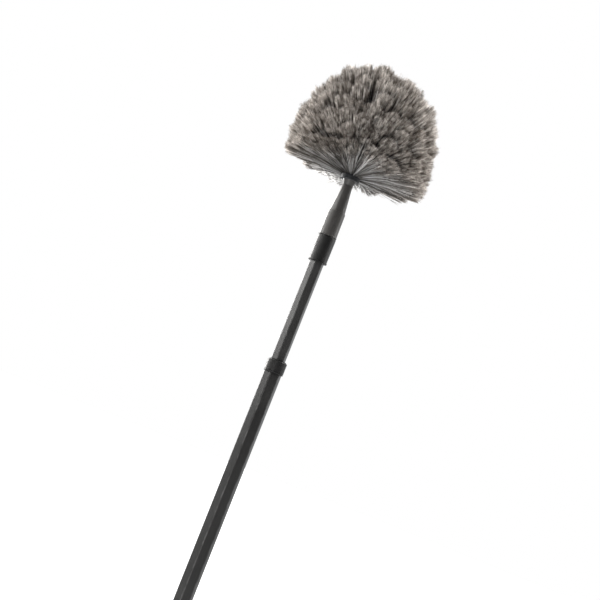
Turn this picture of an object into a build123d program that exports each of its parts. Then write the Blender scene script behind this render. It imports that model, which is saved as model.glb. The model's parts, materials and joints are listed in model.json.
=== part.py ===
"""A dome-headed bristle duster on a two-part telescopic pole of hexagonal tube.

Millimetres, +Z along the pole towards the head. The origin is the middle of the hand grip, on the
pole's axis. Each node is one moulding, tube or group of like small pieces.
"""

from build123d import *
from math import atan2, cos, degrees, hypot, pi, sin
import os

# Fits between pieces
PUSH_GAP = 0.05  # pieces pushed together and never parted
RUNNING_GAP = 0.08  # pieces that slide or turn on each other
OPEN_GAP = 0.3  # pieces that only pass close by

# Hexagonal tubes, with two corners of each on the Y axis
TUBE_WALL = 0.6
LOWER_FLATS = 21.6
LOWER_CORNER = 2.5
UPPER_FLATS = 17.6
UPPER_CORNER = 2.0
LOWER_INSIDE = LOWER_FLATS - 2 * TUBE_WALL
UPPER_INSIDE = UPPER_FLATS - 2 * TUBE_WALL
LOWER_LENGTH = 640.0
UPPER_LENGTH = 600.0

# Hand grip and end cap
GRIP_LENGTH = 130.0
GRIP_RADIUS = 14.0
GRIP_ROUNDING = 3.0
CAP_RADIUS = 13.4
CAP_FLANGE = 4.0
PLUG_LENGTH = 25.0
EYE_WIDTH = 24.0
EYE_THICKNESS = 14.0
EYE_HOLE_RADIUS = 4.5
EYE_DROP = 15.0  # from the cap's flange to the middle of the hanging hole
EYE_ROUNDING = 2.0

# Lock at the top of the lower tube
COLLAR_RADIUS = 13.3
COLLAR_HEIGHT = 17.0
COLLAR_EDGE = 0.8
COLLAR_FOOT = 1.6  # height of the rim below the collar's groove
COLLAR_GROOVE = 0.6  # its depth
COLLAR_GROOVE_WIDTH = 0.9
COLLET_RADIUS = 11.0
COLLET_FLANGE = 1.2
COLLET_DEPTH = 28.0  # how far the guide reaches down into the lower tube
COLLET_RISE = 18.4  # from the flange to the top of the fingers
SNAP_BEAD = 0.3
SNAP_HEIGHT = 0.8
SLOT_WIDTH = 1.2
SLOT_DEPTH = 13.0
SLOT_COUNT = 6

# Upper tube's fittings
EXPOSED_TUBE = 142.0  # upper tube in view between collar and tip sleeve
SLEEVE_LOW_RADIUS = 12.4
SLEEVE_TOP_RADIUS = 12.7
SLEEVE_LENGTH = 36.0
SLEEVE_LIP = 0.6
SLEEVE_LIP_HEIGHT = 1.6
SLEEVE_EDGE = 0.8
TUBE_IN_SLEEVE = 30.0
INSERT_FLANGE_RADIUS = 9.2
INSERT_FLANGE = 2.0
INSERT_DEPTH = 30.0
SPIGOT_RADIUS = 8.0  # over the thread, and of the plain shank inside the tip sleeve
THREAD_ROOT_RADIUS = 7.2
SPIGOT_LENGTH = 18.0
SPIGOT_BORE = 4.0
PIN_RADIUS = 1.5
PIN_BELOW_END = 14.0
BUSH_FLANGE = 12.0
BUSH_DEPTH = 25.0
BUSH_BORE = 4.0
WASHER_THICKNESS = 0.8
WASHER_RADIUS = 11.0

# Head fittings
SOCKET_LOW_RADIUS = 12.3
SOCKET_TOP_RADIUS = 11.9
SOCKET_LENGTH = 35.4
SOCKET_EDGE = 0.6
SOCKET_LIP = 0.4
SOCKET_LIP_HEIGHT = 1.4
SOCKET_BORE_DEPTH = 21.4
SOCKET_WEB = 2.6
NECK_LENGTH = 45.8
NECK_BOTTOM_RADIUS = 11.0
NECK_TOP_RADIUS = 6.8
NECK_FLARE_RADIUS = 9.2
NECK_FLARE = 6.8
TENON_RADIUS = 6.0
SCREW_RADIUS = 2.5
SCREW_HEAD_RADIUS = 4.6
SCREW_HEAD = 2.6
SCREW_IN_HUB = 13.0
SCREW_DRIVE_WIDTH = 1.2
SCREW_DRIVE_DEPTH = 1.2

# Bristle hub: an upright cylinder with a half-ball on top
HUB_RADIUS = 13.0
HUB_BELOW = 7.2  # from the hub's middle, where the tufts meet, down to its base
HUB_WALL = 14.0  # from the hub's middle up to the half-ball
HUB_EDGE = 1.2
HOLE_RADIUS = 1.0
HOLE_DEPTH = 4.0

# Bristle dome: a cylinder with a half-ball on top, which all the tufts reach to
DOME_RADIUS = 98.5
DOME_LOW = 16.0  # height of the lowest tips over the hub's middle
DOME_WALL = 52.0  # height of the half-ball's middle over the hub's middle
RING_COUNT = 9
TUFT_SPACING = 28.6
TUFT_TIP_RADIUS = 6.0
TUFT_ROUNDING = 3.5
ANCHOR_LENGTH = 1.8
ANCHOR_WIDTH = 0.6
ANCHOR_HEIGHT = 0.7

# Heights along the pole with the upper tube where it is drawn out a little
LOWER_END = -GRIP_LENGTH / 2
LOWER_TOP = LOWER_END + LOWER_LENGTH
COLLET_TOP = LOWER_TOP + COLLET_FLANGE + COLLET_RISE
COLLAR_LOW = LOWER_TOP + COLLET_FLANGE + OPEN_GAP
COLLAR_TOP = COLLAR_LOW + COLLAR_HEIGHT
SLEEVE_LOW = COLLAR_TOP + EXPOSED_TUBE
SLEEVE_TOP = SLEEVE_LOW + SLEEVE_LENGTH
UPPER_TOP = SLEEVE_LOW + TUBE_IN_SLEEVE
UPPER_END = UPPER_TOP - UPPER_LENGTH
SOCKET_LOW = SLEEVE_TOP + WASHER_THICKNESS
SOCKET_TOP = SOCKET_LOW + SOCKET_LENGTH
WEB_LOW = SOCKET_LOW + SOCKET_BORE_DEPTH
WEB_TOP = WEB_LOW + SOCKET_WEB
HUB_LOW = SOCKET_TOP + NECK_LENGTH
HUB_MIDDLE = HUB_LOW + HUB_BELOW


def hexagon(flats, corner):
    """A hexagon with rounded corners, two of them on the Y axis."""
    sharp = RegularPolygon(flats / 2, 6, major_radius=False, rotation=30)
    return fillet(sharp.vertices(), corner)


def prism(section, low, high):
    """A section drawn up from one height to another."""
    return Pos(0, 0, low) * extrude(section, amount=high - low)


def rod(radius, low, high):
    """An upright cylinder on the pole's axis."""
    return prism(Circle(radius), low, high)


def taper(low_radius, high_radius, low, high):
    """An upright cone with its ends cut off, on the pole's axis."""
    return Pos(0, 0, (low + high) / 2) * Cone(low_radius, high_radius, high - low)


def edges_at(solid, height):
    """The edges of a solid that lie flat at one height."""
    return solid.edges().filter_by_position(Axis.Z, height - 1e-3, height + 1e-3)


def tube(flats, corner, low, high):
    """A length of hexagonal tube."""
    inside = hexagon(flats - 2 * TUBE_WALL, corner - TUBE_WALL)
    return prism(hexagon(flats, corner), low, high) - prism(inside, low, high)


def cross_pin(length, height):
    """A pin through the pole along X."""
    return Pos(0, 0, height) * Rot(0, 90, 0) * Cylinder(PIN_RADIUS, length)


def pin_hole(height):
    """What is drilled for a cross pin."""
    return Pos(0, 0, height) * Rot(0, 90, 0) * Cylinder(PIN_RADIUS + PUSH_GAP, 2 * GRIP_RADIUS)


def hex_plug(inside_flats, corner, low, high, gap):
    """A hexagonal plug for the inside of a tube."""
    return prism(hexagon(inside_flats - 2 * gap, corner - TUBE_WALL - gap), low, high)


CAP_PIN_HEIGHT = LOWER_END + PIN_BELOW_END
TIP_PIN_HEIGHT = UPPER_TOP - PIN_BELOW_END


def lower_tube():
    return tube(LOWER_FLATS, LOWER_CORNER, LOWER_END, LOWER_TOP) - pin_hole(CAP_PIN_HEIGHT)


def grip():
    """A soft sleeve over the lower tube's end."""
    outside = rod(GRIP_RADIUS, LOWER_END, -LOWER_END)
    rims = edges_at(outside, LOWER_END) + edges_at(outside, -LOWER_END)
    bore = hexagon(LOWER_FLATS + 2 * PUSH_GAP, LOWER_CORNER + PUSH_GAP)
    return fillet(rims, GRIP_ROUNDING) - prism(bore, LOWER_END, -LOWER_END)


def end_cap():
    """A plug with a flange and a flat eye for a hook."""
    flange_low = LOWER_END - CAP_FLANGE
    eye_height = flange_low - EYE_DROP
    plug = hex_plug(LOWER_INSIDE, LOWER_CORNER, LOWER_END, LOWER_END + PLUG_LENGTH, PUSH_GAP)
    plate = Pos(0, -EYE_DROP / 2) * Rectangle(EYE_WIDTH, EYE_DROP)
    plate += Pos(0, -EYE_DROP) * Circle(EYE_WIDTH / 2)
    eye = extrude(plate, amount=EYE_THICKNESS / 2, both=True)
    sides = eye.edges().filter_by_position(Axis.Z, -EYE_THICKNESS, EYE_THICKNESS)
    outline = [edge for edge in sides if abs(abs(edge.center().Z) - EYE_THICKNESS / 2) < 1e-3]
    outline = [edge for edge in outline if edge.center().Y < -1e-3]
    eye = Pos(0, 0, flange_low) * Rot(90, 0, 0) * fillet(outline, EYE_ROUNDING)
    hole = Pos(0, 0, eye_height) * Rot(90, 0, 0) * Cylinder(EYE_HOLE_RADIUS, 2 * EYE_THICKNESS)
    return plug + rod(CAP_RADIUS, flange_low, LOWER_END) + eye - hole - pin_hole(CAP_PIN_HEIGHT)


def lock_collet():
    """The split guide in the lower tube's mouth that grips the upper tube."""
    guide_low = LOWER_TOP - COLLET_DEPTH
    flange_top = LOWER_TOP + COLLET_FLANGE
    body = hex_plug(LOWER_INSIDE, LOWER_CORNER, guide_low, LOWER_TOP, PUSH_GAP)
    body += prism(hexagon(LOWER_FLATS, LOWER_CORNER), LOWER_TOP, flange_top)
    body += rod(COLLET_RADIUS, flange_top, COLLET_TOP)
    body += rod(COLLET_RADIUS + SNAP_BEAD, COLLET_TOP - SNAP_HEIGHT, COLLET_TOP)
    bore = hexagon(UPPER_FLATS + 2 * RUNNING_GAP, UPPER_CORNER + RUNNING_GAP)
    body -= prism(bore, guide_low, COLLET_TOP)
    slot_low = COLLET_TOP - SLOT_DEPTH
    slot = prism(Rectangle(4 * COLLET_RADIUS, SLOT_WIDTH), slot_low, COLLET_TOP)
    for turn in range(SLOT_COUNT // 2):
        body -= Rot(0, 0, turn * 360 / SLOT_COUNT) * slot
    return body


def lock_collar():
    """The ring that is turned to squeeze the collet's fingers, with a groove over its foot."""
    body = rod(COLLAR_RADIUS, COLLAR_LOW, COLLAR_TOP)
    body = fillet(edges_at(body, COLLAR_LOW) + edges_at(body, COLLAR_TOP), COLLAR_EDGE)
    groove = Circle(2 * COLLAR_RADIUS) - Circle(COLLAR_RADIUS - COLLAR_GROOVE)
    groove_low = COLLAR_LOW + COLLAR_FOOT
    body -= prism(groove, groove_low, groove_low + COLLAR_GROOVE_WIDTH)
    return body - rod(COLLET_RADIUS + RUNNING_GAP, COLLAR_LOW, COLLAR_TOP)


def upper_tube():
    return tube(UPPER_FLATS, UPPER_CORNER, UPPER_END, UPPER_TOP) - pin_hole(TIP_PIN_HEIGHT)


def slide_bush():
    """Guides the upper tube's lower end and stops it leaving the collet."""
    flange_low = UPPER_END - BUSH_FLANGE
    body = hex_plug(UPPER_INSIDE, UPPER_CORNER, UPPER_END, UPPER_END + BUSH_DEPTH, PUSH_GAP)
    body += hex_plug(LOWER_INSIDE, LOWER_CORNER, flange_low, UPPER_END, RUNNING_GAP)
    return body - rod(BUSH_BORE, flange_low, UPPER_END + BUSH_DEPTH)


def threaded_insert():
    """The plug in the upper tube's top, with the spigot that the head screws on to, drawn as the
    core inside its thread."""
    spigot_top = SLEEVE_TOP + SPIGOT_LENGTH
    body = hex_plug(UPPER_INSIDE, UPPER_CORNER, UPPER_TOP - INSERT_DEPTH, UPPER_TOP, PUSH_GAP)
    body += rod(INSERT_FLANGE_RADIUS, UPPER_TOP, UPPER_TOP + INSERT_FLANGE)
    body += rod(SPIGOT_RADIUS, UPPER_TOP + INSERT_FLANGE, SLEEVE_TOP)
    body += rod(THREAD_ROOT_RADIUS, SLEEVE_TOP, spigot_top)
    body = chamfer(edges_at(body, spigot_top), SLEEVE_EDGE)
    return body - rod(SPIGOT_BORE, UPPER_TOP + INSERT_FLANGE, spigot_top) - pin_hole(TIP_PIN_HEIGHT)


def tip_sleeve():
    """The round cover over the tube's end and the insert's flange."""
    lip_top = SLEEVE_LOW + SLEEVE_LIP_HEIGHT
    body = taper(SLEEVE_LOW_RADIUS, SLEEVE_TOP_RADIUS, SLEEVE_LOW, SLEEVE_TOP)
    body = fillet(edges_at(body, SLEEVE_TOP), SLEEVE_EDGE)
    body += rod(SLEEVE_LOW_RADIUS + SLEEVE_LIP, SLEEVE_LOW, lip_top)
    bore = hexagon(UPPER_FLATS + 2 * PUSH_GAP, UPPER_CORNER + PUSH_GAP)
    body -= prism(bore, SLEEVE_LOW, UPPER_TOP)
    seat_top = UPPER_TOP + INSERT_FLANGE + PUSH_GAP
    body -= rod(INSERT_FLANGE_RADIUS + PUSH_GAP, UPPER_TOP, seat_top)
    return body - rod(SPIGOT_RADIUS + PUSH_GAP, seat_top, SLEEVE_TOP)


def thrust_washer():
    """The soft ring between the head's socket and the tip sleeve."""
    ring = Circle(WASHER_RADIUS) - Circle(SPIGOT_RADIUS + RUNNING_GAP)
    return prism(ring, SLEEVE_TOP, SOCKET_LOW)


def head_socket():
    """The round sleeve that screws on to the spigot and holds the neck's tenon."""
    lip_top = SOCKET_LOW + SOCKET_LIP_HEIGHT
    lip = rod(SOCKET_LOW_RADIUS + SOCKET_LIP, SOCKET_LOW, lip_top)
    lip = fillet(edges_at(lip, SOCKET_LOW) + edges_at(lip, lip_top), SOCKET_LIP)
    body = taper(SOCKET_LOW_RADIUS, SOCKET_TOP_RADIUS, SOCKET_LOW, SOCKET_TOP)
    body = fillet(edges_at(body, SOCKET_TOP), SOCKET_EDGE) + lip
    body -= rod(SPIGOT_RADIUS + RUNNING_GAP, SOCKET_LOW, WEB_LOW)
    body -= rod(SCREW_RADIUS + OPEN_GAP, WEB_LOW, WEB_TOP)
    return body - rod(TENON_RADIUS + PUSH_GAP, WEB_TOP, SOCKET_TOP)


def neck():
    """The tapered shank from the socket to the hub, with a small flare under the hub."""
    flare_low = HUB_LOW - NECK_FLARE
    body = taper(NECK_BOTTOM_RADIUS, NECK_TOP_RADIUS, SOCKET_TOP, flare_low)
    body += taper(NECK_TOP_RADIUS, NECK_FLARE_RADIUS, flare_low, HUB_LOW)
    body += rod(TENON_RADIUS, WEB_TOP, SOCKET_TOP)
    return body - rod(SCREW_RADIUS + OPEN_GAP, WEB_TOP, HUB_LOW)


def core_screw():
    """The long screw from inside the socket up into the hub."""
    body = rod(SCREW_RADIUS, WEB_LOW, HUB_LOW + SCREW_IN_HUB)
    head = rod(SCREW_HEAD_RADIUS, WEB_LOW - SCREW_HEAD, WEB_LOW)
    head = fillet(edges_at(head, WEB_LOW - SCREW_HEAD), SCREW_HEAD / 3)
    slot_low = WEB_LOW - SCREW_HEAD
    slot = Rectangle(3 * SCREW_HEAD_RADIUS, SCREW_DRIVE_WIDTH)
    drive = prism(slot, slot_low, slot_low + SCREW_DRIVE_DEPTH)
    return body + head - drive - Rot(0, 0, 90) * drive


def along(wall, radius, share):
    """A point (distance from the axis, height) part of the way up a cylinder with a half-ball on
    top. The cylinder's foot is at height 0, and share 1 is the top of the half-ball."""
    reach = share * (wall + radius * pi / 2)
    if reach <= wall:
        return radius, reach
    angle = (reach - wall) / radius
    return radius * cos(angle), wall + radius * sin(angle)


def ring_lines():
    """For each ring of tufts and then the crown: how many tufts, and the line that each follows,
    from the hub's surface to the dome's, as (distance from the axis, height over the hub)."""
    lines = []
    for ring in range(RING_COUNT + 1):
        share = ring / RING_COUNT
        root = along(HUB_WALL, HUB_RADIUS, share)
        out, up = along(DOME_WALL - DOME_LOW, DOME_RADIUS, share)
        tip = (out, up + DOME_LOW)
        lines.append((max(1, round(2 * pi * out / TUFT_SPACING)), root, tip))
    return lines


def around(shape, ring, count, root, tip):
    """Copies of a shape, drawn along Z from the hub's surface, at each tuft of a ring. Every other
    ring is turned by half a tuft."""
    lean = degrees(atan2(tip[0] - root[0], tip[1] - root[1]))
    copies = []
    for tuft in range(count):
        turn = 360 * (tuft + 0.5 * (ring % 2)) / count
        place = Rot(0, 0, turn) * Pos(root[0], 0, HUB_MIDDLE + root[1]) * Rot(0, lean, 0)
        copies.append(place * shape)
    return copies


def tuft(length):
    """The packed bundle of one tuft, a cone from the bottom of its hole to its rounded tips."""
    low = ANCHOR_HEIGHT - HOLE_DEPTH
    low_radius = HOLE_RADIUS + low * (TUFT_TIP_RADIUS - HOLE_RADIUS) / length
    bundle = taper(low_radius, TUFT_TIP_RADIUS, low, length)
    return fillet(edges_at(bundle, length), TUFT_ROUNDING)


def brush_hub(lines):
    """The core, drilled for each tuft and for the screw."""
    body = rod(HUB_RADIUS, HUB_LOW, HUB_MIDDLE + HUB_WALL)
    body = fillet(edges_at(body, HUB_LOW), HUB_EDGE)
    body += Pos(0, 0, HUB_MIDDLE + HUB_WALL) * Sphere(HUB_RADIUS)
    drill = Cylinder(HOLE_RADIUS + PUSH_GAP, 2 * HOLE_DEPTH)
    holes = []
    for ring, (count, root, tip) in enumerate(lines):
        holes += around(drill, ring, count, root, tip)
    return body - holes - rod(SCREW_RADIUS, HUB_LOW, HUB_LOW + SCREW_IN_HUB)


def tuft_anchors(lines):
    """The short flat wires that hold the tufts, one at the bottom of each hole."""
    wire = Pos(0, 0, -HOLE_DEPTH + ANCHOR_HEIGHT / 2) * Box(ANCHOR_LENGTH, ANCHOR_WIDTH, ANCHOR_HEIGHT)
    wires = []
    for ring, (count, root, tip) in enumerate(lines):
        wires += around(wire, ring, count, root, tip)
    return Compound(wires)


def tuft_rings(lines):
    """Each ring's tufts as one node, lowest first, and then the tuft at the crown."""
    rings = {}
    for ring, (count, root, tip) in enumerate(lines):
        length = hypot(tip[0] - root[0], tip[1] - root[1])
        name = f"tuft_ring_{ring + 1}" if ring < RING_COUNT else "tuft_crown"
        rings[name] = Compound(around(tuft(length), ring, count, root, tip))
    return rings


def main():
    lines = ring_lines()
    nodes = {
        "lower_tube": lower_tube(),
        "grip": grip(),
        "end_cap": end_cap(),
        "cap_pin": cross_pin(LOWER_FLATS, CAP_PIN_HEIGHT),
        "lock_collet": lock_collet(),
        "lock_collar": lock_collar(),
        "upper_tube": upper_tube(),
        "slide_bush": slide_bush(),
        "threaded_insert": threaded_insert(),
        "tip_pin": cross_pin(UPPER_FLATS, TIP_PIN_HEIGHT),
        "tip_sleeve": tip_sleeve(),
        "thrust_washer": thrust_washer(),
        "head_socket": head_socket(),
        "neck": neck(),
        "core_screw": core_screw(),
        "brush_hub": brush_hub(lines),
        "tuft_anchors": tuft_anchors(lines),
        **tuft_rings(lines),
    }
    os.makedirs("parts", exist_ok=True)
    for name, shape in nodes.items():
        export_step(shape, f"parts/{name}.step")


main()
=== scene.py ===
"""The looks of a dome-headed bristle duster on a telescopic pole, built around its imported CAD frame.

Metres, in the frame's axes: +Z up the pole, the origin in the middle of the hand grip. The bristles,
the grip and the spigot's thread are made here. Every other piece is its CAD node with a material.
"""

import json
from math import atan2, cos, pi, radians, sin

import bmesh
import bpy
import numpy as np
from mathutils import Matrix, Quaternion, Vector


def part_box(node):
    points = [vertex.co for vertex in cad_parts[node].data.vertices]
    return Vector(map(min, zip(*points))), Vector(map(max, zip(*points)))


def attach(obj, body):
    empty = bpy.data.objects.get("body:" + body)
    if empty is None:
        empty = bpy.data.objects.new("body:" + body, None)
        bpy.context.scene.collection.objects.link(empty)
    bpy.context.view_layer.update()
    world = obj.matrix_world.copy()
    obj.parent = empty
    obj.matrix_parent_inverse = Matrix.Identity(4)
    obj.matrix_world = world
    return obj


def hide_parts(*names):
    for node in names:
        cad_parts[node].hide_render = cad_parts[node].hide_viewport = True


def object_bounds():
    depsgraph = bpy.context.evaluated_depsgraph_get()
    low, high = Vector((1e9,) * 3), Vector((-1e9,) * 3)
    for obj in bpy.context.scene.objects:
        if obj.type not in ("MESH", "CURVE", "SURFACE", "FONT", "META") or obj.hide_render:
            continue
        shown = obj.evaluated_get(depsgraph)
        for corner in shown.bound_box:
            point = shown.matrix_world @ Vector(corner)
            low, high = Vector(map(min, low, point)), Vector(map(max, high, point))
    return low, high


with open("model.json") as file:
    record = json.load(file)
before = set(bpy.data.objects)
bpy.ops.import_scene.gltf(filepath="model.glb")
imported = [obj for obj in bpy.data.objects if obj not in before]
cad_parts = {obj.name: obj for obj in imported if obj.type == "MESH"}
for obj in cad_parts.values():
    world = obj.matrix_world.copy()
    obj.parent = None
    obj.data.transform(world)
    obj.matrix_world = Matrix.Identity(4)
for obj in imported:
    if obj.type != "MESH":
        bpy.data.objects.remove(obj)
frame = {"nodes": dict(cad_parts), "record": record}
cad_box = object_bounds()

MM = 0.001
SEED = 11
COUNTED_FROM = -0.1  # in radians from the X axis, where the tufts of a ring are counted from

NEARLY_UPRIGHT = 0.9  # a unit direction's height above which it counts as along the pole
MERGE_DISTANCE = 0.001 * MM

# Camera, whose lengths on the sensor are in millimetres
FOCAL_LENGTH = 78.0
SENSOR_WIDTH = 36.0
VIEW_AZIMUTH = radians(14.8)
VIEW_ELEVATION = radians(-6.5)
VIEW_ROLL = radians(21.7)
VIEW_DISTANCE = 1.7229
AIM = Vector((-0.0025, -0.0007, 0.6796))

# Bristles: strands and the filaments that their ends are split into
STRANDS = 140  # in each tuft
STRAND_POINTS = 4
STRAND_RADIUS = 0.34 * MM
STRAND_TAPER = 0.8  # its radius where it splits, as a share of that at its root
FILAMENTS = 5  # in each strand
FILAMENT_POINTS = 2
FILAMENT_RADIUS = 0.18 * MM
FILAMENT_TAPER = 0.45
TUBE_SIDES = 3  # of strands and filaments
SPLIT_LENGTH = 15 * MM
SPLIT_VARIATION = 0.2  # how much longer or shorter the split is, as a share of its length
SPLIT_SPREAD = 1.7 * MM  # how far a filament's end stands from its strand's line, at most
LEAST_SPREAD = 0.35  # and at least, as a share of that
SPLIT_UNEVENNESS = 1.1 * MM

# Bristles: tufts
ROOT_SPREAD = 0.9 * MM  # the tuft's radius in its hole
TIP_SPREAD = 12.9 * MM  # the tuft's radius at its tips
SPREAD_UNEVENNESS = 0.06
SPREADING = 1.6  # above 1, a tuft stays slim for longer before it spreads
LOCKS = 13  # bunches within a tuft
BODY_PULL = 0.8  # how far a bunch's strands keep together along their length, from 0 to 1
TIP_PULL = 0.15  # the same at their tips
OPENING = 3  # above 1, a bunch stays together for longer before it opens out
LOCK_UNEVENNESS = 0.008
LOCK_BOW = 1.2 * MM
CROWNING = 0.08  # how much shorter a tuft's outer strands are
SKIRT_SHAPE = (1.3, 0.85)  # of the lowest ring's tufts, round the pole and upward
REACH = 1.015  # a tuft's longest strands to its CAD cone's length
SHOULDER = 0.04  # how much shorter the tufts are at the dome's shoulder
SHOULDER_RING = 3  # where that is, counted from 0 at the lowest ring
SHOULDER_WIDTH = 1.8  # in rings
TUFT_LEAN = 0.028
TUFT_UNEVENNESS = 0.02
STRAND_UNEVENNESS = 0.008
STRAND_BOW = 0.3 * MM
STRAYS = 0.07  # the share of strands that leave their bunch
STRAYING = 1.3  # how much further out they stand

# Bristles: how far shades differ, where 0 is the darkest and 1 the palest
TUFT_SHADE = 0.05
LOCK_SHADE = 0.24
LOCK_TIP_SHADE = 0.09  # at the split ends
STRAND_SHADE = 0.34
FILAMENT_SHADE = 0.08
SPLIT_AT = 0.8  # where the split starts along the strand's colours
UV_WIDTH = 0.01  # of one strand's strip of the shades

# Hand grip
GRIP_STEPS = 150  # along it
GRIP_TURNS = 96  # points round it
GRIP_WAIST = 0.9 * MM  # how much slimmer it is between its ends
GRIP_ROUNDING = 3 * MM
ROUNDING_STEPS = 8
ROUNDING_DEPTH = 0.8  # how far in the edge is rounded, as a share of GRIP_ROUNDING
GRIP_CLEARANCE = 0.03 * MM  # round the tube
GRIP_FLUTES = 16
FLUTE_DEPTH = 0.9 * MM
GRIP_BAND = 17 * MM  # the ringed band at each end
BAND_RISE = 1 * MM  # over which the band's rings begin
BAND_FALL = 2 * MM  # over which they end
FLUTE_RISE = 6 * MM  # over which the flutes begin
RING_PITCH = 4.25 * MM
RING_DEPTH = 0.8 * MM

# Spigot's thread
THREAD_STEPS = 40  # to a turn
THREAD_CLEARANCE = 0.12 * MM  # from its crest to the washer's bore
THREAD_DEPTH = 0.85 * MM  # from its crest to where it is rooted in the core
THREAD_MARGIN = 1.4 * MM  # left plain at both ends
THREAD_FADE = 0.06  # the share of its length over which it fades at each end
THREAD_FOOT = 0.34  # half the ridge's width at its foot, as a share of the pitch
THREAD_CREST = 0.13  # the same at its crest
THREAD_FADED_WIDTH = 0.4  # how wide it still is where it ends

# CAD nodes by finish
BLACK_NODES = ("end_cap", "lock_collar", "tip_sleeve", "lock_collet", "slide_bush", "threaded_insert")
STEEL_NODES = ("cap_pin", "tip_pin", "core_screw", "tuft_anchors")

# Materials
NOISE_RANGE = (0.3, 0.7)  # where nearly all of a noise lies
NOISE_MIDDLE = (0.35, 0.65)  # where most of it lies
RANGE_ENDS = ("From Min", "From Max", "To Min", "To Max")  # a Map Range node's inputs
WORN_FROM = 0.975  # how far out a tube's corners are worn, as a share of its corners' radius

# Studio
FLOOR_RADIUS = 25.0
FLOOR_SEGMENTS = 96
WARM_WHITE = (1.0, 0.985, 0.965)
COOL_WHITE = (0.97, 0.985, 1.0, 1.0)
WHITE = (1.0, 1.0, 1.0, 1.0)
STUDIO_TILT = 0.3  # how far above the horizon the studio's bright side lies
STUDIO_TURN = (-0.6, 0.9)  # from the dim side to the bright side
STUDIO_LEVELS = (0.05, 0.95)


# ---------------------------------------------------------------- meshes


def new_piece(name, mesh, body, material, replaced=()):
    """Puts a mesh in the scene as a piece that rides on a body."""
    piece = bpy.data.objects.new(name, mesh)
    bpy.context.scene.collection.objects.link(piece)
    mesh.materials.append(material)
    mesh.shade_smooth()
    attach(piece, body)
    if replaced:
        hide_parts(*replaced)


def mesh_of(name, points, faces):
    """A mesh from an array of points and arrays of triangles and four-sided faces."""
    mesh = bpy.data.meshes.new(name)
    corners = np.concatenate([group.ravel() for group in faces])
    sides = np.concatenate([np.full(len(group), group.shape[1]) for group in faces])
    starts = np.concatenate([[0], np.cumsum(sides)[:-1]])
    mesh.vertices.add(len(points))
    mesh.vertices.foreach_set("co", points.astype(np.float32).ravel())
    mesh.loops.add(len(corners))
    mesh.loops.foreach_set("vertex_index", corners.astype(np.int32))
    mesh.polygons.add(len(sides))
    mesh.polygons.foreach_set("loop_start", starts.astype(np.int32))
    mesh.update(calc_edges=True)
    mesh.validate()
    return mesh


def unit(vectors):
    """Vectors scaled to length 1."""
    return vectors / np.linalg.norm(vectors, axis=-1, keepdims=True)


def across(directions):
    """Two unit vectors square to each direction and to each other."""
    upright = np.abs(directions[..., 2:3]) > NEARLY_UPRIGHT
    helper = np.where(upright, [1.0, 0.0, 0.0], [0.0, 0.0, 1.0])
    first = unit(np.cross(directions, helper))
    return first, np.cross(directions, first)


# ---------------------------------------------------------------- bristles


def turn_of(points):
    """How far round the pole a solid lies, from a little before the X axis."""
    x, y = points.mean(0)[:2]
    return (atan2(y, x) - COUNTED_FROM) % (2 * pi)


def solids_of(node):
    """The points of each separate solid of a CAD node, in order round the pole."""
    shape = bmesh.new()
    shape.from_mesh(frame["nodes"][node].data)
    bmesh.ops.remove_doubles(shape, verts=shape.verts, dist=MERGE_DISTANCE)
    seen = set()
    solids = []
    for start in shape.verts:
        if start in seen:
            continue
        seen.add(start)
        group = [start]
        for vert in group:
            for edge in vert.link_edges:
                other = edge.other_vert(vert)
                if other not in seen:
                    seen.add(other)
                    group.append(other)
        solids.append(np.array([vert.co[:] for vert in group]))
    shape.free()
    return sorted(solids, key=turn_of)


def tuft_line(points, hub):
    """The two ends of a tuft's axis, the one in the hub first."""
    middle = points.mean(0)
    axis = np.linalg.svd(points - middle, full_matrices=False)[2][0]
    if axis @ (middle - hub) < 0:
        axis = -axis
    reach = (points - middle) @ axis
    margin = 0.1 * MM
    root = points[reach < reach.min() + margin].mean(0)
    tip = points[reach > reach.max() - margin].mean(0)
    return root, tip


def disc(rng, count):
    """Random points spread evenly over a disc of radius 1."""
    radius = np.sqrt(rng.random(count))
    turn = 2 * pi * rng.random(count)
    return np.stack([radius * np.cos(turn), radius * np.sin(turn)], axis=1)


def bunches(rng):
    """Where each of a tuft's strands stands in a disc of radius 1 across it, the way from there to its
    bunch's middle, and its bunch's number. A stray stands further out and has no way to go."""
    own = disc(rng, STRANDS)
    locks = disc(rng, LOCKS)
    lock = np.linalg.norm(own[:, None] - locks[None], axis=2).argmin(1)
    stray = (rng.random(STRANDS) < STRAYS)[:, None]
    inward = np.where(stray, 0.0, locks[lock] - own)
    return np.where(stray, STRAYING * own, own), inward, lock


def strand_reach(rng, own, lock, grown):
    """Each strand's length as a share of its tuft's."""
    reach = grown - CROWNING * (own**2).sum(1)
    reach = reach + (LOCK_UNEVENNESS * rng.normal(size=LOCKS))[lock]
    return reach + STRAND_UNEVENNESS * rng.normal(size=STRANDS)


def strand_bow(rng, lock):
    """How far each strand bows to each side in its middle."""
    lock_bow = LOCK_BOW * rng.normal(size=(LOCKS, 2))[lock]
    return lock_bow + STRAND_BOW * rng.normal(size=(STRANDS, 2))


def strand_shades(rng, lock):
    """Each strand's shade along its length, and at its split end."""
    tuft_shade = 0.5 + TUFT_SHADE * rng.normal()
    lock_shade = rng.normal(size=LOCKS)[lock]
    shades = tuft_shade + STRAND_SHADE * rng.normal(size=STRANDS)
    return shades + LOCK_SHADE * lock_shade, shades + LOCK_TIP_SHADE * lock_shade


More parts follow.
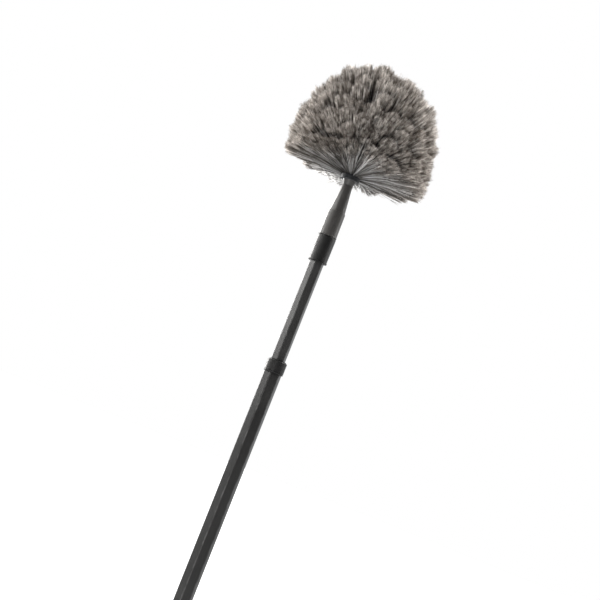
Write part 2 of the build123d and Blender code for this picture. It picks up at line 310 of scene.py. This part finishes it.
def fan(rng, root, tip, shape, grown):
    """One tuft's strands, from its hole to where they end, with their shades. shape is how much wider
    than round the tuft is, round the pole and square to that. grown is its length as a share of the
    root's distance from the tip."""
    axis = tip - root
    length = np.linalg.norm(axis)
    first, second = across(axis / length)
    sides = np.stack([first, second]) * np.array(shape)[:, None]
    lean = length * TUFT_LEAN * rng.normal(size=2)
    grown = grown + TUFT_UNEVENNESS * rng.normal()
    spread = TIP_SPREAD * (1 + SPREAD_UNEVENNESS * rng.normal())
    own, inward, lock = bunches(rng)
    reach = strand_reach(rng, own, lock, grown)
    bow = strand_bow(rng, lock)
    share = np.linspace(0, 1, STRAND_POINTS + 1)[None, :, None]
    pull = BODY_PULL + (TIP_PULL - BODY_PULL) * share**OPENING
    bunched = own[:, None] + pull * inward[:, None]
    wide = share**SPREADING
    offset = ROOT_SPREAD * own[:, None] * (1 - wide) + (spread * bunched + lean) * wide
    offset = offset + bow[:, None] * np.sin(pi * share)
    paths = root + share * reach[:, None, None] * axis + offset @ sides
    return paths, *strand_shades(rng, lock)


def split_ends(rng, paths):
    """The filaments that each strand ends in, and the strands cut back to where they split."""
    last = paths[:, -1] - paths[:, 0]
    length = np.linalg.norm(last, axis=1, keepdims=True)
    direction = last / length
    first, second = across(direction)
    tips = paths[:, -1]
    longer = 1 + SPLIT_VARIATION * (2 * rng.random((len(paths), 1)) - 1)
    splits = tips - direction * SPLIT_LENGTH * longer
    body = np.concatenate([paths[:, :-2], splits[:, None]], axis=1)
    shape = (len(paths), FILAMENTS)
    turn = 2 * pi * (rng.random((len(paths), 1)) + np.arange(FILAMENTS) / FILAMENTS)
    out = SPLIT_SPREAD * (LEAST_SPREAD + (1 - LEAST_SPREAD) * rng.random(shape))
    side = (out * np.cos(turn))[..., None] * first[:, None]
    side = side + (out * np.sin(turn))[..., None] * second[:, None]
    further = SPLIT_UNEVENNESS * rng.normal(size=(*shape, 1))
    ends = tips[:, None] + side + further * direction[:, None]
    starts = np.broadcast_to(splits[:, None], ends.shape)
    return body, np.stack([starts, ends], axis=2).reshape(-1, FILAMENT_POINTS, 3)


def tubes(paths, radii):
    """Closed tubes along paths of the same number of points."""
    count, steps = paths.shape[:2]
    first, second = across(unit(paths[:, -1] - paths[:, 0]))
    turns = 2 * pi * np.arange(TUBE_SIDES) / TUBE_SIDES
    ring = np.cos(turns)[:, None] * first[:, None] + np.sin(turns)[:, None] * second[:, None]
    points = paths[:, :, None] + radii[None, :, None, None] * ring[:, None]
    corner = np.arange(count * steps * TUBE_SIDES).reshape(count, steps, TUBE_SIDES)
    low, high = corner[:, :-1], corner[:, 1:]
    walls = np.stack([low, np.roll(low, -1, 2), np.roll(high, -1, 2), high], axis=-1)
    ends = np.concatenate([corner[:, 0, ::-1], corner[:, -1]])
    return points.reshape(-1, 3), walls.reshape(-1, 4), ends


def tube_uvs(shades, heights):
    """For each tube's corners, across for the strand's own shade and up for the place along it."""
    strip = np.linspace(0.0, UV_WIDTH, TUBE_SIDES)
    u = shades[:, None, None] * (1 - UV_WIDTH) + strip[None, None, :]
    u = np.broadcast_to(u, (len(shades), len(heights), TUBE_SIDES))
    v = np.broadcast_to(heights[None, :, None], u.shape)
    return np.stack([u, v], axis=-1).reshape(-1, 2)


def bristle_mesh(name, bodies, filaments, shades, fine_shades):
    """The strands and filaments of many tufts as one mesh, with a UV map for their colours."""
    body_radii = STRAND_RADIUS * np.linspace(1.0, STRAND_TAPER, STRAND_POINTS)
    filament_radii = FILAMENT_RADIUS * np.linspace(1.0, FILAMENT_TAPER, FILAMENT_POINTS)
    points, walls, ends = tubes(bodies, body_radii)
    more_points, more_walls, more_ends = tubes(filaments, filament_radii)
    uvs = np.concatenate([
        tube_uvs(shades, np.linspace(0.0, SPLIT_AT, STRAND_POINTS)),
        tube_uvs(fine_shades, np.linspace(SPLIT_AT, 1.0, FILAMENT_POINTS)),
    ])
    faces = [walls, more_walls + len(points), ends, more_ends + len(points)]
    mesh = mesh_of(name, np.concatenate([points, more_points]), faces)
    layer = mesh.uv_layers.new(name="OFBake")
    vertex = np.zeros(len(mesh.loops), np.int32)
    mesh.loops.foreach_get("vertex_index", vertex)
    layer.uv.foreach_set("vector", uvs[vertex].astype(np.float32).ravel())
    return mesh


def bristle_ring(number, node, hub, material):
    """The detailed bristles of one ring of tufts, or of the crown's single tuft."""
    shape = SKIRT_SHAPE if number == 0 else (1.0, 1.0)
    grown = REACH - SHOULDER * np.exp(-(((number - SHOULDER_RING) / SHOULDER_WIDTH) ** 2))
    parts = []
    for count, points in enumerate(solids_of(node)):
        rng = np.random.default_rng([SEED, number, count])
        root, tip = tuft_line(points, hub)
        paths, shades, tip_shades = fan(rng, root, tip, shape, grown)
        body, ends = split_ends(rng, paths)
        fine_shades = np.repeat(tip_shades, FILAMENTS) + FILAMENT_SHADE * rng.normal(size=len(ends))
        parts.append((body, ends, np.clip(shades, 0.0, 1.0), np.clip(fine_shades, 0.0, 1.0)))
    name = node.replace("tuft", "bristle")
    mesh = bristle_mesh(name, *(np.concatenate(group) for group in zip(*parts)))
    new_piece(name, mesh, "head", material, [node])


def tuft_nodes():
    """The CAD nodes of the tufts, lowest ring first and the crown last."""
    names = [name for name in frame["nodes"] if name.startswith("tuft_ring_")]
    return sorted(names, key=lambda name: int(name.split("_")[-1])) + ["tuft_crown"]


# ---------------------------------------------------------------- grip and thread


def loop_walls(low, high):
    """Four-sided faces between two closed loops of point numbers."""
    return np.stack([low, np.roll(low, -1), np.roll(high, -1), high], axis=-1)


def smooth(value, low, high):
    """0 below one value, 1 above another and an even curve between them."""
    share = np.clip((value - low) / (high - low), 0, 1)
    return share * share * (3 - 2 * share)


def grip_radius(turn, along, half, radius):
    """The grip's radius: a waist with lengthwise flutes, and a ringed band and a round edge at each
    end."""
    from_end = half - np.abs(along)
    body = smooth(from_end, GRIP_BAND, GRIP_BAND + FLUTE_RISE)
    band = smooth(from_end, GRIP_ROUNDING, GRIP_ROUNDING + BAND_RISE)
    band = band * (1 - smooth(from_end, GRIP_BAND - BAND_FALL, GRIP_BAND))
    flute = (0.5 + 0.5 * np.cos(GRIP_FLUTES * turn)) ** 2
    ring = (0.5 - 0.5 * np.cos(2 * pi * (from_end - GRIP_ROUNDING) / RING_PITCH)) ** 2
    drop = body * (GRIP_WAIST + FLUTE_DEPTH * flute) + band * RING_DEPTH * ring
    edge = np.clip(1 - from_end / GRIP_ROUNDING, 0, 1)
    return radius - drop - ROUNDING_DEPTH * GRIP_ROUNDING * (1 - np.sqrt(1 - edge**2))


def hexagon_radius(turn, flats, corners):
    """The radius of a hexagon with rounded corners, two of them on the Y axis."""
    from_flat = (turn + pi / 6) % (pi / 3) - pi / 6
    return np.minimum(flats / 2 / np.cos(from_flat), corners / 2)


def grip(material):
    """The ribbed rubber sleeve on the lower tube's end."""
    low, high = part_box("grip")
    half = (high.z - low.z) / 2
    tube_low, tube_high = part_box("lower_tube")
    ease = 0.5 + 0.5 * np.sin(np.linspace(-pi / 2, pi / 2, ROUNDING_STEPS + 1))[1:]
    edge = half - GRIP_ROUNDING * (1 - ease)
    even = np.linspace(-half, half, GRIP_STEPS)
    heights = np.unique(np.concatenate([even, -edge, edge, [-half, half]]).round(7))
    turn = np.linspace(0, 2 * pi, GRIP_TURNS, endpoint=False)
    outer = grip_radius(turn[None], heights[:, None], half, high.x)
    inner = hexagon_radius(turn, tube_high.x - tube_low.x, tube_high.y - tube_low.y) + GRIP_CLEARANCE
    radii = np.concatenate([outer, np.broadcast_to(inner, (2, GRIP_TURNS))])
    levels = np.concatenate([heights, [half, -half]])[:, None] + (low.z + high.z) / 2
    points = np.stack(np.broadcast_arrays(radii * np.cos(turn), radii * np.sin(turn), levels), axis=-1)
    corner = np.arange(points.shape[0] * GRIP_TURNS).reshape(-1, GRIP_TURNS)
    walls = np.concatenate([loop_walls(one, two) for one, two in zip(corner, np.roll(corner, -1, 0))])
    mesh = mesh_of("grip_sleeve", points.reshape(-1, 3), [walls])
    new_piece("grip_sleeve", mesh, "lower_pole", material, ["grip"])


def bore_of(node):
    """The radius of the hole along the pole in a node."""
    points = np.array([vert.co[:2] for vert in frame["nodes"][node].data.vertices])
    return np.linalg.norm(points, axis=1).min()


def thread(material):
    """The spigot's right-hand thread, a ridge that winds up round its core and fades at both ends."""
    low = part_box("tip_sleeve")[1].z + THREAD_MARGIN
    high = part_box("threaded_insert")[1].z - THREAD_MARGIN
    pitch = 2 * pi * frame["record"]["behaviour"]["couplings"][0]["ratio"]
    turns = (high - low) / pitch
    crest = bore_of("thrust_washer") - THREAD_CLEARANCE
    turn = np.linspace(0, 2 * pi * turns, round(turns * THREAD_STEPS))[:, None]
    share = turn / turn[-1]
    rise = np.minimum(smooth(share, 0.0, THREAD_FADE), 1 - smooth(share, 1 - THREAD_FADE, 1.0))
    foot, top = THREAD_FOOT, THREAD_CREST
    profile = np.array([(-foot, 0.0), (-top, 1.0), (top, 1.0), (foot, 0.0)])
    radius = crest - THREAD_DEPTH * (1 - profile[:, 1] * rise)
    width = THREAD_FADED_WIDTH + (1 - THREAD_FADED_WIDTH) * rise
    height = low + (high - low) * share + pitch * profile[:, 0] * width
    points = np.stack([radius * np.cos(turn), radius * np.sin(turn), height], axis=-1)
    corner = np.arange(points[..., 0].size).reshape(-1, len(profile))
    walls = np.concatenate([loop_walls(two, one) for one, two in zip(corner, corner[1:])])
    ends = np.stack([corner[0], corner[-1, ::-1]])
    mesh = mesh_of("spigot_thread", points.reshape(-1, 3), [walls, ends])
    new_piece("spigot_thread", mesh, "upper_pole", material)


# ---------------------------------------------------------------- materials


class Paint:
    """A material's node tree, with short calls to add nodes to it."""

    def __init__(self, name):
        self.material = bpy.data.materials.new(name)
        self.material.use_nodes = True
        self.tree = self.material.node_tree
        self.shader = self.tree.nodes["Principled BSDF"]

    def node(self, kind, settings=None, **inputs):
        """Adds a node. settings are its properties. Inputs are values or other nodes' outputs."""
        made = self.tree.nodes.new(kind)
        for key, value in (settings or {}).items():
            setattr(made, key, value)
        for key, value in inputs.items():
            self.put(made.inputs[key.replace("_", " ")], value)
        return made

    def put(self, socket, value):
        """Gives a socket a value, or wires another node's output to it."""
        if isinstance(value, bpy.types.NodeSocket):
            self.tree.links.new(value, socket)
        else:
            socket.default_value = value

    def place(self, stretch=(1.0, 1.0, 1.0)):
        """Where a point is in the frame, stretched along each axis."""
        coordinates = self.node("ShaderNodeTexCoord").outputs["Object"]
        return self.node("ShaderNodeMapping", Vector=coordinates, Scale=stretch).outputs["Vector"]

    def noise(self, vector, lumps, detail=4.0):
        """A noise from 0 to 1, with about this many lumps a metre."""
        made = self.node("ShaderNodeTexNoise", Vector=vector, Scale=lumps, Detail=detail)
        return made.outputs["Fac"]

    def fit(self, value, old, new=(0.0, 1.0)):
        """A value taken from one range to another, and kept in it."""
        made = self.node("ShaderNodeMapRange", Value=value)
        for name, number in zip(RANGE_ENDS, (*old, *new)):
            self.put(made.inputs[name], number)
        return made.outputs["Result"]

    def math(self, operation, first, second=0.0):
        """A sum, product or other operation on two values."""
        made = self.node("ShaderNodeMath", {"operation": operation})
        self.put(made.inputs[0], first)
        self.put(made.inputs[1], second)
        return made.outputs["Value"]

    def mix(self, share, first, second, how="MIX"):
        """A colour between two colours, or their product where how is MULTIPLY and share is 1."""
        made = self.node("ShaderNodeMix", {"data_type": "RGBA", "blend_type": how})
        sockets = {socket.identifier: socket for socket in made.inputs}
        self.put(sockets["Factor_Float"], share)
        self.put(sockets["A_Color"], first)
        self.put(sockets["B_Color"], second)
        return next(socket for socket in made.outputs if socket.identifier == "Result_Color")

    def ramp(self, value, stops):
        """A colour that runs through a list of (place, colour) as a value goes from 0 to 1."""
        made = self.node("ShaderNodeValToRGB", Fac=value)
        elements = made.color_ramp.elements
        elements[0].position, elements[1].position = stops[0][0], stops[-1][0]
        for place, _ in stops[1:-1]:
            elements.new(place)
        for element, (place, colour) in zip(elements, stops):
            element.color = colour
        return made.outputs["Color"]

    def dress(self, **values):
        """Sets or wires the shader's sockets."""
        for name, value in values.items():
            self.put(self.shader.inputs[name.replace("_", " ")], value)
        return self.material

    def bump(self, height, depth):
        """A normal for a height from 0 to 1 that stands for this depth in metres."""
        made = self.node("ShaderNodeBump", Height=height, Distance=depth, Strength=1.0)
        return made.outputs["Normal"]


def grey(level, warmth=0.0):
    """A grey, a little warmer or cooler."""
    return (level * (1 + warmth), level, level * (1 - warmth), 1.0)


def bristle_material():
    """Split plastic bristle: darker towards the root as painted shade from the hub and the tufts round
    it, taupe along the strand and paler at its split end. Each strand has its own shade, from dark
    brown to silver, and the silver end is partly a painted highlight for the strands' glints."""
    paint = Paint("bristle")
    uv = paint.node("ShaderNodeUVMap", {"uv_map": "OFBake"}).outputs["UV"]
    parts = paint.node("ShaderNodeSeparateXYZ", Vector=uv).outputs
    # painted shade: the strands are darkened towards their roots, where the hub and the tufts round
    # them shade them
    along_strand_with_painted_root_shade = paint.ramp(parts["Y"], (
        (0.0, grey(0.11)),
        (0.35, grey(0.26)),
        (0.7, grey(0.31, 0.02)),
        (0.85, grey(0.33, 0.05)),
        (1.0, grey(0.39, 0.07)),
    ))
    # each strand's own tone, at random; its palest, silver end is partly a painted highlight standing
    # in for the strands' glints
    own_shade_and_painted_glint = paint.ramp(parts["X"], (
        (0.0, (0.22, 0.19, 0.16, 1.0)),
        (0.4, (0.66, 0.61, 0.57, 1.0)),
        (0.7, (1.20, 1.17, 1.14, 1.0)),
        (1.0, (2.60, 2.60, 2.62, 1.0)),
    ))
    return paint.dress(
        Base_Color=paint.mix(1.0, along_strand_with_painted_root_shade, own_shade_and_painted_glint, "MULTIPLY"),
        Roughness=0.34,
        Specular_IOR_Level=0.55,
    )


def corner_radius(node):
    """How far from the axis the corners of a hexagonal tube are, two of them on the Y axis."""
    low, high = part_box(node)
    return (high.y - low.y) / 2


def corner_wear(paint, place, corner):
    """From 0 to 1 on the rounded corners of a hexagonal tube, in patches. corner is their radius."""
    flat = paint.node("ShaderNodeVectorMath", {"operation": "MULTIPLY"}, Vector=place)
    flat.inputs[1].default_value = (1.0, 1.0, 0.0)
    length = paint.node("ShaderNodeVectorMath", {"operation": "LENGTH"}, Vector=flat.outputs["Vector"])
    edge = paint.fit(length.outputs["Value"], (WORN_FROM * corner, corner))
    patches = paint.fit(paint.noise(place, lumps=60.0, detail=6.0), (0.45, 0.7))
    return paint.math("MULTIPLY", edge, patches)


def tube_material(node, dark, light):
    """Anthracite coat on drawn aluminium: fine grain, faint lengthwise lines, worn corners."""
    paint = Paint(f"{node}_coat")
    place = paint.place()
    drawn = paint.noise(paint.place(stretch=(1.0, 1.0, 0.02)), lumps=900.0, detail=3.0)
    grain = paint.noise(place, lumps=2600.0, detail=2.0)
    cloud = paint.noise(place, lumps=22.0)
    tone = paint.math("ADD", paint.math("MULTIPLY", drawn, 0.5), paint.math("MULTIPLY", cloud, 0.5))
    coat = paint.mix(paint.fit(tone, NOISE_MIDDLE), grey(dark, 0.02), grey(light, 0.01))
    wear = paint.math("MULTIPLY", corner_wear(paint, place, corner_radius(node)), 0.5)
    uneven = paint.fit(grain, NOISE_RANGE, (-0.04, 0.04))
    relief = paint.math("ADD", grain, paint.math("MULTIPLY", drawn, 0.6))
    worn = grey(0.18)
    return paint.dress(
        Base_Color=paint.mix(wear, coat, worn),
        Roughness=paint.math("ADD", uneven, paint.fit(cloud, NOISE_RANGE, (0.32, 0.42))),
        Normal=paint.bump(relief, depth=0.02 * MM),
        Specular_IOR_Level=0.6,
    )


def plastic_material(name, dark, light, rough, grain_depth, warmth=0.0):
    """Moulded plastic: eroded grain, slow flow marks and a little uneven gloss."""
    paint = Paint(name)
    grain = paint.noise(paint.place(), lumps=1900.0, detail=3.0)
    flow = paint.noise(paint.place(stretch=(1.0, 1.0, 0.35)), lumps=70.0, detail=5.0)
    gloss = paint.fit(flow, NOISE_RANGE, (rough - 0.05, rough + 0.05))
    return paint.dress(
        Base_Color=paint.mix(paint.fit(flow, NOISE_MIDDLE), grey(dark, warmth), grey(light, warmth)),
        Roughness=paint.math("ADD", gloss, paint.fit(grain, NOISE_RANGE, (-0.03, 0.05))),
        Normal=paint.bump(grain, grain_depth),
        Specular_IOR_Level=0.4,
    )


def steel_material():
    """Drawn steel wire and pins."""
    paint = Paint("steel")
    lines = paint.noise(paint.place(), lumps=1500.0, detail=3.0)
    return paint.dress(
        Base_Color=paint.mix(lines, grey(0.45), grey(0.62)),
        Metallic=1.0,
        Roughness=paint.fit(lines, NOISE_RANGE, (0.25, 0.4)),
    )


def repaint(materials):
    """Gives CAD nodes that stay their materials."""
    for node, material in materials.items():
        for entry in frame["nodes"][node].material_slots:
            entry.material = material


# ---------------------------------------------------------------- studio


def world_light():
    """White to the camera. To the object, a studio that is bright behind and dim in front."""
    world = bpy.data.worlds.new("studio")
    bpy.context.scene.world = world
    world.use_nodes = True
    tree = world.node_tree
    nodes, links = tree.nodes, tree.links
    nodes.clear()
    direction = nodes.new("ShaderNodeTexCoord").outputs["Generated"]
    behind = nodes.new("ShaderNodeVectorMath")
    behind.operation = "DOT_PRODUCT"
    links.new(direction, behind.inputs[0])
    behind.inputs[1].default_value = (-sin(VIEW_AZIMUTH), cos(VIEW_AZIMUTH), STUDIO_TILT)
    level = nodes.new("ShaderNodeMapRange")
    level.interpolation_type = "SMOOTHSTEP"
    links.new(behind.outputs["Value"], level.inputs["Value"])
    for name, value in zip(RANGE_ENDS, (*STUDIO_TURN, *STUDIO_LEVELS)):
        level.inputs[name].default_value = value
    studio = nodes.new("ShaderNodeBackground")
    studio.inputs["Color"].default_value = COOL_WHITE
    links.new(level.outputs["Result"], studio.inputs["Strength"])
    backdrop = nodes.new("ShaderNodeBackground")
    backdrop.inputs["Color"].default_value = WHITE
    choice = nodes.new("ShaderNodeMixShader")
    links.new(nodes.new("ShaderNodeLightPath").outputs["Is Camera Ray"], choice.inputs["Fac"])
    links.new(studio.outputs["Background"], choice.inputs[1])
    links.new(backdrop.outputs["Background"], choice.inputs[2])
    links.new(choice.outputs["Shader"], nodes.new("ShaderNodeOutputWorld").inputs["Surface"])


def softbox(name, azimuth, elevation, distance, target, size, power):
    """An area light aimed at a point. Azimuth 0 is the camera's side and 90 its right."""
    turn = VIEW_AZIMUTH + radians(azimuth)
    rise = radians(elevation)
    back = Vector((sin(turn) * cos(rise), -cos(turn) * cos(rise), sin(rise)))
    light = bpy.data.lights.new(name, "AREA")
    light.shape = "RECTANGLE"
    light.size, light.size_y = size
    light.energy = power
    light.color = WARM_WHITE
    lamp = bpy.data.objects.new(name, light)
    lamp.location = Vector(target) + back * distance
    lamp.rotation_mode = "QUATERNION"
    lamp.rotation_quaternion = back.to_track_quat("Z", "Y")
    bpy.context.scene.collection.objects.link(lamp)


def floor_material():
    """Matt pale paint with the faintest unevenness. It is lifted to the backdrop's white further
    away from the object."""
    paint = Paint("floor")
    cloud = paint.noise(paint.place(), lumps=3.0)
    distance = paint.node("ShaderNodeVectorMath", {"operation": "LENGTH"}, Vector=paint.place())
    seen = paint.node("ShaderNodeLightPath").outputs["Is Camera Ray"]
    lift = paint.fit(distance.outputs["Value"], (0.6, 2.4), (0.45, 1.0))
    return paint.dress(
        Base_Color=paint.mix(cloud, grey(0.64), grey(0.66)),
        Roughness=0.9,
        Emission_Color=WHITE,
        Emission_Strength=paint.math("MULTIPLY", seen, lift),
    )


def floor():
    """A round floor under the object's lowest point."""
    mesh = bpy.data.meshes.new("floor")
    shape = bmesh.new()
    bmesh.ops.create_circle(shape, cap_ends=True, segments=FLOOR_SEGMENTS, radius=FLOOR_RADIUS)
    shape.to_mesh(mesh)
    shape.free()
    mesh.materials.append(floor_material())
    made = bpy.data.objects.new("floor", mesh)
    made.location.z = cad_box[0].z
    bpy.context.scene.collection.objects.link(made)


def camera():
    """The camera, rolled so that the pole leans to the right."""
    rise, turn = VIEW_ELEVATION, VIEW_AZIMUTH
    back = Vector((sin(turn) * cos(rise), -cos(turn) * cos(rise), sin(rise)))
    made = bpy.data.objects.new("camera", bpy.data.cameras.new("camera"))
    made.data.sensor_width = SENSOR_WIDTH
    made.data.lens = FOCAL_LENGTH
    made.data.clip_end = 4 * FLOOR_RADIUS
    made.location = AIM + back * VIEW_DISTANCE
    made.rotation_mode = "QUATERNION"
    level = (-back).to_track_quat("-Z", "Y")
    made.rotation_quaternion = level @ Quaternion((0, 0, 1), VIEW_ROLL)
    bpy.context.scene.collection.objects.link(made)
    bpy.context.scene.camera = made


def studio():
    """Floor, light and camera."""
    floor()
    world_light()
    head = (0.0, 0.0, 0.85)
    joint = (0.0, 0.0, 0.78)
    softbox("key", azimuth=-60, elevation=30, distance=2.2, target=head, size=(1.2, 1.2), power=28)
    softbox("left", azimuth=-92, elevation=12, distance=1.6, target=head, size=(0.8, 0.9), power=11)
    softbox("rim", azimuth=-138, elevation=10, distance=1.6, target=joint, size=(0.7, 0.9), power=25)
    softbox("right", azimuth=100, elevation=14, distance=1.8, target=head, size=(0.7, 1.0), power=5)
    softbox("low", azimuth=-18, elevation=-20, distance=1.7, target=head, size=(0.9, 0.5), power=5)
    softbox("high", azimuth=96, elevation=42, distance=1.9, target=head, size=(0.9, 0.9), power=46)
    bpy.context.scene.view_settings.view_transform = "Standard"
    camera()


# ---------------------------------------------------------------- the object


def dress(materials):
    """Materials on the CAD nodes that stay."""
    repaint({
        "lower_tube": tube_material("lower_tube", dark=0.016, light=0.025),
        "upper_tube": tube_material("upper_tube", dark=0.026, light=0.038),
        **{node: materials["black"] for node in BLACK_NODES},
        **{node: materials["shank"] for node in ("head_socket", "neck")},
        **{node: materials["steel"] for node in STEEL_NODES},
        "brush_hub": materials["hub"],
        "thrust_washer": materials["rubber"],
    })


def bristles():
    """All the tufts of the head."""
    low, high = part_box("brush_hub")
    hub = np.array((low + high) / 2)
    material = bristle_material()
    for number, node in enumerate(tuft_nodes()):
        bristle_ring(number, node, hub, material)


materials = {
    "black": plastic_material(
        "black_plastic", dark=0.008, light=0.014, rough=0.38, grain_depth=0.03 * MM
    ),
    "shank": plastic_material(
        "grey_plastic", dark=0.062, light=0.080, rough=0.30, grain_depth=0.015 * MM, warmth=0.04
    ),
    "hub": plastic_material(
        "hub_plastic", dark=0.020, light=0.032, rough=0.36, grain_depth=0.03 * MM, warmth=-0.08
    ),
    "rubber": plastic_material(
        "rubber", dark=0.012, light=0.018, rough=0.62, grain_depth=0.04 * MM
    ),
    "steel": steel_material(),
}
dress(materials)
grip(materials["rubber"])
thread(materials["black"])
bristles()
studio()
